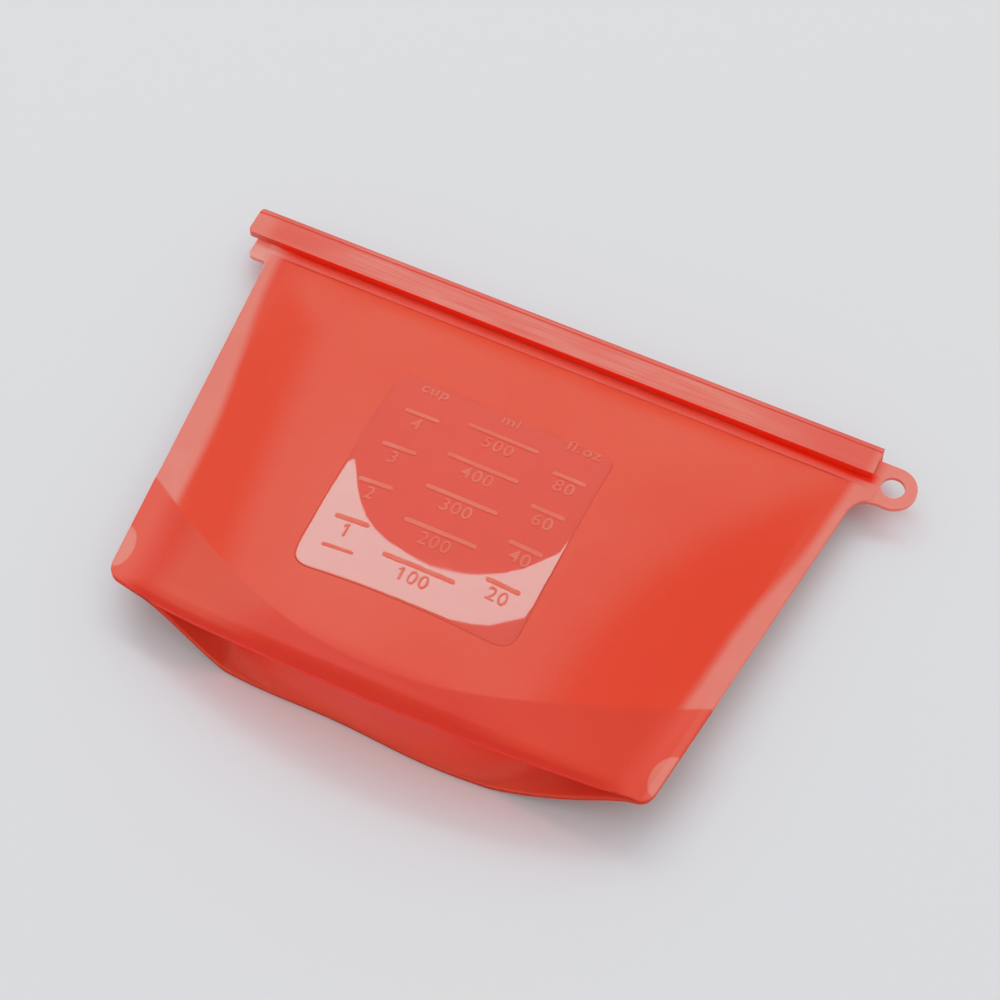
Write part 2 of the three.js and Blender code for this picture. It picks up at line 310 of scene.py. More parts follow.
def shell(name, outer, inner, material, bulge=0.25):
    """A closed wall between two grids of points, with a rounded rim."""
    rows, columns = outer.shape[:2]
    ring = [(0, i) for i in range(columns)] + [(j, columns - 1) for j in range(1, rows)]
    ring += [(rows - 1, i) for i in range(columns - 2, -1, -1)] + [(j, 0) for j in range(rows - 2, 0, -1)]
    rim = []
    for j, i in ring:
        inward = outer[min(max(j, 1), rows - 2), min(max(i, 1), columns - 2)] - outer[j, i]
        inward[2] = 0
        out = -inward / max(np.linalg.norm(inward), 1e-9)
        rim.append((outer[j, i] + inner[j, i]) / 2 + out * bulge)
    vertices = np.concatenate([outer.reshape(-1, 3), inner.reshape(-1, 3), np.array(rim)])
    side = rows * columns
    faces = []
    for j in range(rows - 1):
        for i in range(columns - 1):
            a, b = j * columns + i, j * columns + i + 1
            faces.append((a, b, b + columns, a + columns))
            faces.append((side + a + columns, side + b + columns, side + b, side + a))
    for k in range(len(ring)):
        m = (k + 1) % len(ring)
        a, b = (ring[k][0] * columns + ring[k][1]), (ring[m][0] * columns + ring[m][1])
        faces.append((a, 2 * side + k, 2 * side + m, b))
        faces.append((2 * side + k, side + a, side + b, 2 * side + m))
    return make_object(name, vertices, faces, material)


def panel(name, surface, facing, columns, rows, material):
    """A panel's wall, from the outer surface inwards. facing is 1 where that surface looks up, or -1."""
    s, t = grid(columns, rows)
    outer = surface(s, t)
    n = normals(outer)
    n *= np.sign(n[..., 2:]) * facing
    edge = smooth(0.90, 0.99, np.abs(s))
    wall = PANEL_T + (EDGE_T - PANEL_T) * edge
    inner = outer - n * wall[..., None]
    return shell(name, outer, inner, material)


def front_surface(xy, lift):
    """Points on the front panel, or lift above it, over a list of (x, y)."""
    x, y = np.asarray(xy, float).T
    return np.column_stack([x, y, front_z(x, y) + lift])


def add_bevel(piece, width, segments=3):
    bevel = piece.modifiers.new("rounding", "BEVEL")
    bevel.width = width * MM
    bevel.segments = segments
    bevel.limit_method = "ANGLE"
    bevel.angle_limit = math.radians(30)
    bevel.harden_normals = False
    smooth_by_angle(piece.data, 40)


def smooth_by_angle(mesh, degrees):
    """Smooth shading that keeps edges sharper than this angle."""
    work = bmesh.new()
    work.from_mesh(mesh)
    for edge in work.edges:
        edge.smooth = len(edge.link_faces) != 2 or edge.calc_face_angle() < math.radians(degrees)
    work.to_mesh(mesh)
    work.free()


def sweep(name, stations, profile, material):
    """A solid along X. profile(x) gives the corners of its cross-section there as (v, w), where v runs
    from the bar's far side towards the panel and w is the height over the mouth."""
    rings = [[(x, BAR_HIGH[1] - v, MOUTH_Z + w) for v, w in profile(x)] for x in stations]
    count = len(rings[0])
    faces = [tuple(range(count)), tuple(range((len(rings) - 1) * count, len(rings) * count))[::-1]]
    for k in range(len(rings) - 1):
        for i in range(count):
            a, b = k * count + i, k * count + (i + 1) % count
            faces.append((a, b, b + count, a + count))
    return make_object(name, [point for ring in rings for point in ring], faces, material)


def arc(centre_x, centre_y, radius, start, end, count):
    """Points of an arc from one angle to another, in degrees."""
    angles = np.radians(np.linspace(start, end, count))
    return [(centre_x + radius * math.cos(a), centre_y + radius * math.sin(a)) for a in angles]


def plate(name, outline, thickness, middle_z, material, hole=()):
    """A flat plate with an outline of (x, y) points, and a hole or none."""
    curve = bpy.data.curves.new(name, "CURVE")
    curve.dimensions = "2D"
    curve.fill_mode = "BOTH"
    curve.extrude = thickness / 2 * MM
    for loop in (outline, hole):
        if len(loop) > 0:
            spline = curve.splines.new("POLY")
            spline.points.add(len(loop) - 1)
            for point, (x, y) in zip(spline.points, loop):
                point.co = (x * MM, y * MM, 0, 1)
            spline.use_cyclic_u = True
    return from_curve(name, curve, middle_z, material)


def from_curve(name, curve, raise_mm, material):
    """The mesh of a filled curve or a text, welded."""
    holder = bpy.data.objects.new(name + "_curve", curve)
    bpy.context.scene.collection.objects.link(holder)
    bpy.context.view_layer.update()
    mesh = bpy.data.meshes.new_from_object(holder.evaluated_get(bpy.context.evaluated_depsgraph_get()))
    vertices = [np.array(v.co) / MM + (0, 0, raise_mm) for v in mesh.vertices]
    faces = [tuple(face.vertices) for face in mesh.polygons]
    bpy.data.objects.remove(holder)
    return make_object(name, vertices, faces, material)


def joined(name, parts, material):
    """One object from several, which are used up."""
    vertices, faces = [], []
    for part in parts:
        start = len(vertices)
        vertices += [np.array(v.co) / MM for v in part.data.vertices]
        faces += [tuple(start + i for i in face.vertices) for face in part.data.polygons]
        bpy.data.objects.remove(part)
    return make_object(name, vertices, faces, material)


# Materials
class Nodes:
    """Short forms for building a node material."""

    def __init__(self, name):
        self.material = bpy.data.materials.new(name)
        self.material.use_nodes = True
        self.tree = self.material.node_tree
        self.shader = self.tree.nodes["Principled BSDF"]
        self.position = self.tree.nodes.new("ShaderNodeTexCoord").outputs["Object"]

    def link(self, source, socket):
        if isinstance(source, bpy.types.NodeSocket):
            self.tree.links.new(source, socket)
        else:
            socket.default_value = source

    def new(self, kind, **settings):
        node = self.tree.nodes.new(kind)
        for key, value in settings.items():
            setattr(node, key, value)
        return node

    def math(self, operation, a, b=0.0):
        node = self.new("ShaderNodeMath", operation=operation)
        self.link(a, node.inputs[0])
        self.link(b, node.inputs[1])
        return node.outputs[0]

    def axes(self):
        """Object X, Y and Z in millimetres."""
        scaled = self.new("ShaderNodeVectorMath", operation="SCALE")
        self.link(self.position, scaled.inputs[0])
        scaled.inputs["Scale"].default_value = 1 / MM
        split = self.new("ShaderNodeSeparateXYZ")
        self.link(scaled.outputs[0], split.inputs[0])
        return split.outputs

    def band(self, value, start, end, low=0.0, high=1.0):
        node = self.new("ShaderNodeMapRange", interpolation_type="SMOOTHSTEP")
        self.link(value, node.inputs["Value"])
        for key, number in (("From Min", start), ("From Max", end), ("To Min", low), ("To Max", high)):
            self.link(number, node.inputs[key])
        return node.outputs["Result"]

    def noise(self, size_mm, detail=2.0, stretch=(1, 1, 1)):
        mapping = self.new("ShaderNodeMapping")
        self.link(self.position, mapping.inputs["Vector"])
        mapping.inputs["Scale"].default_value = stretch
        node = self.new("ShaderNodeTexNoise")
        self.link(mapping.outputs[0], node.inputs["Vector"])
        node.inputs["Scale"].default_value = 1 / (size_mm * MM)
        node.inputs["Detail"].default_value = detail
        return node.outputs["Fac"]

    def mix(self, share, a, b):
        node = self.new("ShaderNodeMix", data_type="RGBA")
        self.link(share, node.inputs["Factor"])
        self.link(a, node.inputs[6])
        self.link(b, node.inputs[7])
        return node.outputs[2]

    def bump(self, height, strength, distance_mm):
        node = self.new("ShaderNodeBump")
        self.link(height, node.inputs["Height"])
        node.inputs["Strength"].default_value = strength
        node.inputs["Distance"].default_value = distance_mm * MM
        self.link(node.outputs[0], self.shader.inputs["Normal"])

    def let_light_through(self, tint):
        """Light from the lamps passes the wall, tinted, so that what is behind it glows."""
        rays = self.new("ShaderNodeLightPath")
        clear = self.new("ShaderNodeBsdfTransparent")
        clear.inputs["Color"].default_value = tint
        blend = self.new("ShaderNodeMixShader")
        self.link(rays.outputs["Is Shadow Ray"], blend.inputs[0])
        self.link(self.shader.outputs[0], blend.inputs[1])
        self.link(clear.outputs[0], blend.inputs[2])
        self.link(blend.outputs[0], self.tree.nodes["Material Output"].inputs["Surface"])


def srgb(r, g, b):
    def linear(v):
        v /= 255
        return v / 12.92 if v <= 0.04045 else ((v + 0.055) / 1.055) ** 2.4

    return (linear(r), linear(g), linear(b), 1.0)


BODY = srgb(221, 62, 24)
# Body colour paled by a painted sheen, for the panels' middle
BODY_SHEEN_PALE = srgb(223, 84, 60)
SEAM = srgb(221, 124, 110)
LAYERED = srgb(208, 60, 30)
LAYERED_PALE = srgb(208, 80, 56)
# Painted shade near the front panel's bottom ridge
RIDGE_SHADE = srgb(201, 42, 10)
EDGE_LAYERED = srgb(222, 80, 58)
PATCH = srgb(224, 128, 112)
# Painted shade, deep red, in the slot beside the bar and on the bar's near face
SHADE_DEEP_RED = srgb(232, 40, 4)
# Painted shade on the rolled bottom edge and in the crease under the lip band
EDGE_SHADE = srgb(208, 46, 24)
BAND = srgb(214, 78, 60)
TAB = srgb(220, 122, 106)
EAR = srgb(224, 150, 138)
BAR = srgb(215, 113, 97)
# Painted shade along the bar's far edge
BAR_EDGE_SHADE = srgb(188, 74, 60)
WINDOW = srgb(211, 54, 22)
MARK = srgb(222, 126, 110)
# The gusset's lit lower and shaded upper colours: painted light and shade
BASE_LIT_LOW = srgb(255, 70, 40)
BASE_SHADED_HIGH = srgb(247, 40, 14)

# Share of red, green and blue light that each wall lets through
FRONT_TINT = (0.95, 0.76, 0.72, 1)
BACK_TINT = (0.6, 0.79, 0.77, 1)
BASE_TINT = (0.68, 0.73, 0.69, 1)
LIP_TINT = (0.88, 0.55, 0.5, 1)
BAR_TINT = (0.92, 0.42, 0.34, 1)


def finish_silicone(n, colour, roughness, spread=0.05, grain=0.12, tint=LIP_TINT):
    """Colour, gloss, grain and depth that every silicone part shares."""
    cloudy = n.noise(28)
    n.link(n.mix(n.band(cloudy, 0.35, 0.65, 0.0, 0.15), colour, LAYERED), n.shader.inputs["Base Color"])
    fine = n.noise(0.35)
    n.link(n.band(fine, 0.2, 0.8, roughness - spread, roughness + spread), n.shader.inputs["Roughness"])
    n.bump(fine, strength=grain, distance_mm=0.05)
    n.shader.inputs["Subsurface Weight"].default_value = 1.0
    n.shader.inputs["Subsurface Radius"].default_value = (1.0, 0.3, 0.2)
    n.shader.inputs["Subsurface Scale"].default_value = 2 * MM
    n.shader.inputs["IOR"].default_value = 1.43
    n.let_light_through(tint)
    return n.material


def wall_silicone(name, tint):
    """The panels: lighter where they are fused along the sides, deeper where the gusset lies behind."""
    n = Nodes(name)
    x, y = n.axes()[:2]

    # Half width, fold line and bottom edge, as in half_width, fold_y and bottom_y but for its corners
    top_share = n.math("DIVIDE", n.math("SUBTRACT", TOP_Y, y), TOP_Y - CORNER_Y)
    half = n.math("ADD", n.math("MULTIPLY", top_share, BOTTOM_HALF_WIDTH - TOP_HALF_WIDTH), TOP_HALF_WIDTH)
    side = n.math("SUBTRACT", half, n.math("ABSOLUTE", x))
    s = n.math("DIVIDE", x, half)
    open_share = n.math("MAXIMUM", n.math("SUBTRACT", 1, n.math("MULTIPLY", s, s)), 0.0)
    fold_bow = n.math("MULTIPLY", n.math("POWER", open_share, FOLD_CURVE), FOLD_BOW)
    fold = n.math("SUBTRACT", FOLD_SIDE_Y, fold_bow)
    bottom = n.math("SUBTRACT", CORNER_Y, n.math("MULTIPLY", open_share, BOTTOM_BOW))

    # Fused side seams, wider towards the base, and a painted sheen: a paler middle between two borders
    seam_width = n.band(x, -10, 10, n.band(y, 50, -30, 4, 11), n.band(y, 30, -20, 3.4, 8))
    in_seam = n.band(n.math("SUBTRACT", seam_width, side), -2.2, 2.2)
    pale_from = n.math("SUBTRACT", n.math("MULTIPLY", y, -0.2), n.band(y, 25, 50, 75, 91))
    y_squared = n.math("MULTIPLY", y, y)
    pale_to = n.math("ADD", n.math("MULTIPLY", y_squared, 0.003), n.math("MULTIPLY", y, 0.45))
    from_left = n.band(n.math("SUBTRACT", x, pale_from), -5, 9)
    from_right = n.band(n.math("SUBTRACT", n.math("ADD", pale_to, 73), x), -7, 12)
    colour = n.mix(in_seam, n.mix(n.math("MULTIPLY", from_left, from_right), BODY, BODY_SHEEN_PALE), SEAM)

    # Where the gusset's layers lie behind, with the round bonds in the bottom corners
    near_side = n.band(side, 13, 4)
    layers = n.mix(n.math("MULTIPLY", n.band(x, -30, -48), n.band(x, -84, -70)), LAYERED, LAYERED_PALE)
    layers = n.mix(near_side, layers, EDGE_LAYERED)
    patch_x = n.math("DIVIDE", side, 4.6)
    patch_y = n.math("DIVIDE", n.math("SUBTRACT", y, CORNER_Y + 10.5), 8.0)
    patch_r = n.math("ADD", n.math("MULTIPLY", patch_x, patch_x), n.math("MULTIPLY", patch_y, patch_y))
    layers = n.mix(n.band(patch_r, 1.15, 0.85), layers, PATCH)
    colour = n.mix(n.band(n.math("SUBTRACT", fold, y), -0.7, 0.7), colour, layers)

    # Painted shade on the bottom ridge, on the rolled bottom edge and in the crease along the lip band, and
    # the paler corner beside the ear
    above = n.math("SUBTRACT", y, bottom)
    # Painted shade where the front panel rolls over towards its bottom edge
    ridge = n.math("MULTIPLY", n.band(above, 15, 5), n.band(n.math("ABSOLUTE", x), 62, 28))
    colour = n.mix(ridge, colour, RIDGE_SHADE)
    # Painted shade on the rolled bottom edge
    at_edge = n.math("MULTIPLY", n.band(above, 2.8, 1.0), n.band(side, 4, 18))
    colour = n.mix(at_edge, colour, EDGE_SHADE)
    beside_ear = n.math("MULTIPLY", n.band(x, -109.5, -112.5), n.band(y, 47, 50))
    colour = n.mix(beside_ear, colour, EAR)
    # Painted shade in the crease along the lip band's lower edge
    crease = n.band(n.math("ABSOLUTE", n.math("SUBTRACT", y, BAND_Y - 0.1)), 0.7, 0.1, 0.0, 0.6)
    colour = n.mix(n.math("MULTIPLY", crease, n.band(side, 2, 14)), colour, EDGE_SHADE)
    n.shader.inputs["Specular IOR Level"].default_value = 0.32
    return finish_silicone(n, colour, roughness=0.38, tint=tint)


def gusset_silicone(name):
    """The gusset, lit through from above: its light spreads further inside it."""
    n = Nodes(name)
    z = n.axes()[2]
    # Painted light and shade: lighter low down, deeper red higher up under the front panel's bottom edge
    colour = n.mix(n.band(z, 4, 26), BASE_LIT_LOW, BASE_SHADED_HIGH)
    made = finish_silicone(n, colour, roughness=0.4, tint=BASE_TINT)
    n.shader.inputs["Subsurface Scale"].default_value = 5 * MM
    return made


def band_silicone(name):
    """The lips and tabs: painted deep red shade in the slot beside the bar, paler towards the ends."""
    n = Nodes(name)
    x, y = n.axes()[:2]
    v = n.math("SUBTRACT", BAR_HIGH[1], y)
    # The painted shade reaches further from the bar near both ends, most of all at the hang tab
    along_slot = n.math("MULTIPLY", n.band(x, -112, -107), n.band(x, 116, 113))
    slot_end = n.math("ADD", n.band(x, 40, 100, 10.0, 12.2), n.band(x, -40, -90, 0.0, 0.9))
    from_slot_end = n.math("SUBTRACT", slot_end, v)
    from_bar = n.band(v, BAND_START, BAND_START + 1)
    across_slot = n.math("MULTIPLY", n.band(from_slot_end, -0.6, 0.4), from_bar)
    ends = n.math("MAXIMUM", n.band(x, 104, 117), n.band(x, -104, -112))
    colour = n.mix(ends, BAND, n.mix(n.band(x, -100, -112), TAB, EAR))
    colour = n.mix(n.math("MULTIPLY", along_slot, across_slot), colour, SHADE_DEEP_RED)
    return finish_silicone(n, colour, roughness=0.42)


def window_silicone(name, colour):
    """The polished patch of the measuring scale."""
    n = Nodes(name)
    cloudy = n.mix(n.noise(9), colour, BODY)
    made = finish_silicone(n, cloudy, roughness=0.025, spread=0.01, grain=0.004)
    n.shader.inputs["IOR"].default_value = 1.5
    n.shader.inputs["Specular IOR Level"].default_value = 0.75
    return made


def marks_silicone(name):
    """The frosted marks of the scale."""
    n = Nodes(name)
    made = finish_silicone(n, n.mix(n.noise(6), MARK, BODY_SHEEN_PALE), roughness=0.6)
    n.shader.inputs["Subsurface Weight"].default_value = 0.3
    n.shader.inputs["Specular IOR Level"].default_value = 0.35
    return made


def bar_plastic(name):
    """The bar: drawn lengthways, paler at its tips, with painted shade in its groove and along its far edge,
    and painted deep red on its near face for the shade there and the light that comes through it.
    """
    n = Nodes(name)
    drawn = n.noise(0.6, detail=3.0, stretch=(0.02, 1, 1))
    cloudy = n.noise(14, stretch=(0.4, 1, 1))
    x, y = n.axes()[:2]
    v = n.math("SUBTRACT", BAR_HIGH[1], y)
    colour = n.mix(n.band(cloudy, 0.35, 0.65, 0.0, 0.5), BAR, BAND)
    colour = n.mix(n.band(drawn, 0.42, 0.66, 0.0, 0.5), colour, LAYERED)
    from_middle = n.math("ABSOLUTE", n.math("SUBTRACT", x, (BAR_LOW[0] + BAR_HIGH[0]) / 2))
    colour = n.mix(n.band(from_middle, 60, 107, 0.0, 0.85), colour, LAYERED)
    tips = n.math("MAXIMUM", n.band(x, -111, -118), n.band(x, 109.5, 112.6))
    colour = n.mix(n.math("MULTIPLY", tips, 0.5), colour, TAB)
    # Painted shade in the groove along the far edge
    groove_shade = n.band(n.math("ABSOLUTE", n.math("SUBTRACT", v, GROOVE_AT)), 0.9, 0.2, 0.0, 0.7)
    colour = n.mix(groove_shade, colour, BAND)
    # Painted shade along the far edge, where it rounds away
    colour = n.mix(n.band(v, 1.0, 0.5, 0.0, 0.8), colour, BAR_EDGE_SHADE)
    # Painted shade and light coming through, deep red on the near face
    near_face = n.math("MULTIPLY", n.band(v, FRONT_LEG - 0.35, FRONT_LEG - 0.05), n.band(x, -113, -107))
    colour = n.mix(near_face, colour, SHADE_DEEP_RED)
    n.link(colour, n.shader.inputs["Base Color"])
    n.link(n.band(drawn, 0.3, 0.7, 0.36, 0.5), n.shader.inputs["Roughness"])
    n.bump(drawn, strength=0.2, distance_mm=0.08)
    n.shader.inputs["Subsurface Weight"].default_value = 0.6
    n.shader.inputs["Subsurface Radius"].default_value = (1.0, 0.25, 0.15)
    n.shader.inputs["Subsurface Scale"].default_value = 2 * MM
    n.let_light_through(BAR_TINT)
    return n.material


def floor_material():
    """Plain pale paint with a slight mottle."""
    n = Nodes("floor_paint")
    fine = n.noise(4)
    colour = n.mix(fine, (0.628, 0.638, 0.664, 1), (0.638, 0.648, 0.674, 1))
    n.link(colour, n.shader.inputs["Base Color"])
    n.shader.inputs["Roughness"].default_value = 0.9
    n.shader.inputs["Specular IOR Level"].default_value = 0.1
    return n.material


# Walls
front_material = wall_silicone("silicone_front", FRONT_TINT)
front = panel("front_wall", front_outer, facing=1, columns=240, rows=190, material=front_material)
back_material = wall_silicone("silicone_back", BACK_TINT)
back = panel("back_wall", back_outer, facing=-1, columns=160, rows=110, material=back_material)
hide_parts("front_panel")
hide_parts("back_panel")

gusset_grid = gusset_middle(*grid(columns=160, rows=60))
to_face = normals(gusset_grid) * GUSSET_T / 2
base_material = gusset_silicone("silicone_base")
gusset = shell("gusset_wall", gusset_grid + to_face, gusset_grid - to_face, base_material)
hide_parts("bottom_gusset")

# Lips: a bead for the bar, a slot beside the bar and the band below it
BAND_TOP = 1.3  # over the mouth's middle plane
BEAD_FACE = 2.6  # likewise
BEAD_START = 2.1  # this and the next ones from the bar's far side
FRONT_BEAD_END = 8.7
BACK_BEAD_END = 4.6
BACK_BAND_START = 4.2
SLOT_END = 11.3
BAND_FACE_START = 12.1
TONGUE_AT = 13.2
TONGUE_HALF_WIDTH = 0.6
TONGUE_TIP_HALF_WIDTH = 0.5
TONGUE_DEPTH = 0.3
LIP_GROOVE_HALF_WIDTH = 0.9
LIP_GROOVE_DEPTH = 0.6
BAND_END_TOP = EDGE_T + 0.01  # between the panels' edges and the tabs, which are 0.01 mm higher
HALF_GAP = 0.15
SLOT_DEPTH = 0.35
CLOSED_END_RISE = 0.8  # fills the bar's opening near its closed end
LIP_LEFT_X = LIP_LOW[0]
LIP_RIGHT_X = LIP_HIGH[0]
BAND_END = BAR_HIGH[1] - BAND_Y
LIP_BEVEL = 0.22


def band_top(x):
    """The band sinks to the tabs' thickness at its two ends."""
    return BAND_END_TOP + (BAND_TOP - BAND_END_TOP) * (1 - smooth(100, 110, abs(x)))


def front_band_section(x):
    """Across the front band: the slot beside the bar, the band and the tongue under it."""
    top = band_top(x)
    slot = top - SLOT_DEPTH * (1 - smooth(106, 111, x)) + CLOSED_END_RISE * smooth(100, 110, -x)
    return [(BAND_START, HALF_GAP), (BAND_START, slot), (SLOT_END, slot), (BAND_FACE_START, top),
            (BAND_END, top), (BAND_END, HALF_GAP),
            (TONGUE_AT + TONGUE_HALF_WIDTH, HALF_GAP), (TONGUE_AT + TONGUE_TIP_HALF_WIDTH, -TONGUE_DEPTH),
            (TONGUE_AT - TONGUE_TIP_HALF_WIDTH, -TONGUE_DEPTH), (TONGUE_AT - TONGUE_HALF_WIDTH, HALF_GAP)]


def back_band_section(x):
    """Across the back band, with a groove for the tongue."""
    top = -band_top(x)
    groove_end = TONGUE_AT + LIP_GROOVE_HALF_WIDTH
    groove_start = TONGUE_AT - LIP_GROOVE_HALF_WIDTH
    return [(BACK_BAND_START, -HALF_GAP), (BACK_BAND_START, top), (BAND_END, top), (BAND_END, -HALF_GAP),
            (groove_end, -HALF_GAP), (groove_end, -LIP_GROOVE_DEPTH),
            (groove_start, -LIP_GROOVE_DEPTH), (groove_start, -HALF_GAP)]


def lip(name, facing, bead_end, band_section):
    """A bead and a band. facing is 1 for the front lip and -1 for the back one."""
    bead_section = [(BEAD_START, facing * HALF_GAP), (BEAD_START, facing * BEAD_FACE),
                    (bead_end, facing * BEAD_FACE), (bead_end, facing * HALF_GAP)]
    bead = sweep("bead", (LIP_LEFT_X, LIP_RIGHT_X), lambda x: bead_section, band_material)
    band = sweep("band", np.linspace(-LIP_RIGHT_X, LIP_RIGHT_X, 120), band_section, band_material)
    made = joined(name, (bead, band), band_material)
    add_bevel(made, LIP_BEVEL)
    return made


band_material = band_silicone("silicone_band")
front_lip = lip("front_lip_band", 1, FRONT_BEAD_END, front_band_section)
back_lip = lip("back_lip_band", -1, BACK_BEAD_END, back_band_section)
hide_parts("front_lip")
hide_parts("back_lip")

# Tabs
TAB_T = TAB_HIGH[2] - TAB_LOW[2]
TAB_BEVEL = 0.45
TAB_OVERLAP = 1.5  # how far the tabs reach in between the bands' ends
HOLE_Y = 58.7
HOLE_R = 4.1
EYE_R = TAB_HIGH[1] - HOLE_Y
HOLE_X = TAB_HIGH[0] - EYE_R
EYE_START = math.radians(-101)  # where the neck meets the eye
NECK_START = (-0.6, -2.1)  # on the side seam, from the lips' right end and the CAD tab's lower edge
NECK_CORNER = (0.9, 0.05)  # the curve's control point, from the CAD tab's lower left corner
TAB_START = -1.5  # under the band, from the CAD tab's lower edge

# The neck is a curve that leads from the side seam to the eye
neck_start = np.array((LIP_RIGHT_X + NECK_START[0], TAB_LOW[1] + NECK_START[1]))
neck_corner = np.array((TAB_LOW[0] + NECK_CORNER[0], TAB_LOW[1] + NECK_CORNER[1]))
neck_end = np.array((HOLE_X + EYE_R * math.cos(EYE_START), HOLE_Y + EYE_R * math.sin(EYE_START)))
tab_outline = [(LIP_RIGHT_X - TAB_OVERLAP, TAB_LOW[1] + TAB_START)]
for share in np.linspace(0, 1, 12)[:-1]:
    before = neck_start + (neck_corner - neck_start) * share
    after = neck_corner + (neck_end - neck_corner) * share
    tab_outline.append(tuple(before + (after - before) * share))
tab_outline += arc(HOLE_X, HOLE_Y, EYE_R, math.degrees(EYE_START), 90, 60)
tab_outline += [(LIP_RIGHT_X - TAB_OVERLAP, TAB_HIGH[1])]
hole_outline = arc(HOLE_X, HOLE_Y, HOLE_R, 360, 6, 60)
hang_tab = plate("hang_tab_eye", tab_outline, TAB_T, MOUTH_Z, band_material, hole_outline)
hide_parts("hang_tab")

EAR_R = 2.2
EAR_CHAMFER = 0.6
EAR_TOP_Y = BAR_HIGH[1] - BAND_START  # under the bar's hook
ear_outline = [(EAR_HIGH[0] + TAB_OVERLAP, EAR_TOP_Y), (EAR_LOW[0] + EAR_CHAMFER, EAR_TOP_Y)]
ear_outline += [(EAR_LOW[0], EAR_TOP_Y - EAR_CHAMFER)]
ear_outline += arc(EAR_LOW[0] + EAR_R, EAR_LOW[1] + EAR_R, EAR_R, 180, 270, 12)
ear_outline += [(EAR_HIGH[0] + TAB_OVERLAP, EAR_LOW[1])]
end_tab = plate("end_tab_ear", ear_outline, TAB_T, MOUTH_Z, band_material)
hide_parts("end_tab")
for tab in (hang_tab, end_tab):
    add_bevel(tab, TAB_BEVEL)

# Bar: a C-shaped channel with a hook on each leg and a groove along its far edge, closed at one end
BAR_HALF_HEIGHT = (BAR_HIGH[2] - BAR_LOW[2]) / 2
BAR_BEVEL = 0.4
inner = BAR_HALF_HEIGHT - BAR_WALL
bar_outside = [(FRONT_LEG, HOOK_TIP), (FRONT_LEG, BAR_HALF_HEIGHT),
               (GROOVE_AT + GROOVE_HALF_WIDTH, BAR_HALF_HEIGHT), (GROOVE_AT, BAR_HALF_HEIGHT - GROOVE_DEPTH),
               (GROOVE_AT - GROOVE_HALF_WIDTH, BAR_HALF_HEIGHT), (0, BAR_HALF_HEIGHT),
               (0, -BAR_HALF_HEIGHT), (BACK_LEG, -BAR_HALF_HEIGHT), (BACK_LEG, -HOOK_TIP)]
bar_inside = [(BACK_LEG - HOOK_DEPTH, -HOOK_TIP), (BACK_LEG - HOOK_DEPTH, -inner), (BAR_WALL, -inner),
              (BAR_WALL, inner), (FRONT_LEG - HOOK_DEPTH, inner), (FRONT_LEG - HOOK_DEPTH, HOOK_TIP)]
bar_material = bar_plastic("bar_plastic_drawn")


def end_section(x):
    """The closed end, whose corners are rounded as seen from above."""
    into = 1 - min((x - BAR_LOW[0]) / BAR_END_R, 1)
    narrower = 1 - BAR_END_R * (1 - math.sqrt(1 - into * into)) / (FRONT_LEG / 2)
    return [(FRONT_LEG / 2 + (v - FRONT_LEG / 2) * narrower, w) for v, w in bar_outside]


end_stations = BAR_LOW[0] + BAR_END_R * (1 - np.cos(np.radians(np.linspace(0, 90, 8))))
channel_stations = (BAR_LOW[0] + BAR_END_R - 0.05, BAR_HIGH[0])
channel = sweep("channel", channel_stations, lambda x: bar_outside + bar_inside, bar_material)
end_wall = sweep("end_wall", np.append(end_stations, BAR_LOW[0] + BAR_WALL), end_section, bar_material)
union = channel.modifiers.new("union", "BOOLEAN")
union.operation = "UNION"
union.solver = "EXACT"
union.object = end_wall
bpy.context.view_layer.update()
whole = bpy.data.meshes.new_from_object(channel.evaluated_get(bpy.context.evaluated_depsgraph_get()))
bar = bpy.data.objects.new("sliding_bar", whole)
bpy.context.scene.collection.objects.link(bar)
bpy.data.objects.remove(channel)
bpy.data.objects.remove(end_wall)
for polygon in bar.data.polygons:
    polygon.use_smooth = True
add_bevel(bar, BAR_BEVEL)
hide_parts("seal_bar")

# Measuring window: a polished patch, a little proud of the frosted panel
WINDOW_CORNERS = ((-42.5, 22.3), (36.9, 19.8), (37.6, -62.7), (-41.0, -62.7))
WINDOW_RADII = (4.0, 4.0, 7.0, 8.0)
WINDOW_LIFT = 0.2


def rounded_outline(corners, radii, steps=12):
    """A four-sided outline, clockwise from above, with rounded corners."""
    outline = []
    for k, radius in enumerate(radii):
        corner = np.array(corners[k])
        to_last = np.array(corners[k - 1]) - corner
        to_next = np.array(corners[(k + 1) % 4]) - corner
        start = corner + to_last / np.linalg.norm(to_last) * radius
        end = corner + to_next / np.linalg.norm(to_next) * radius
        for share in np.linspace(0, 1, steps):
            a = start + (corner - start) * share
            b = corner + (end - corner) * share
            outline.append(a + (b - a) * share)
    return np.array(outline)


def divided(outline, longest=1.5):
    """The same closed outline with no side longer than this."""
    points = []
    for a, b in zip(outline, np.roll(outline, -1, axis=0)):
        steps = max(1, math.ceil(np.linalg.norm(b - a) / longest))
        points += [a + (b - a) * k / steps for k in range(steps)]
    return np.array(points)


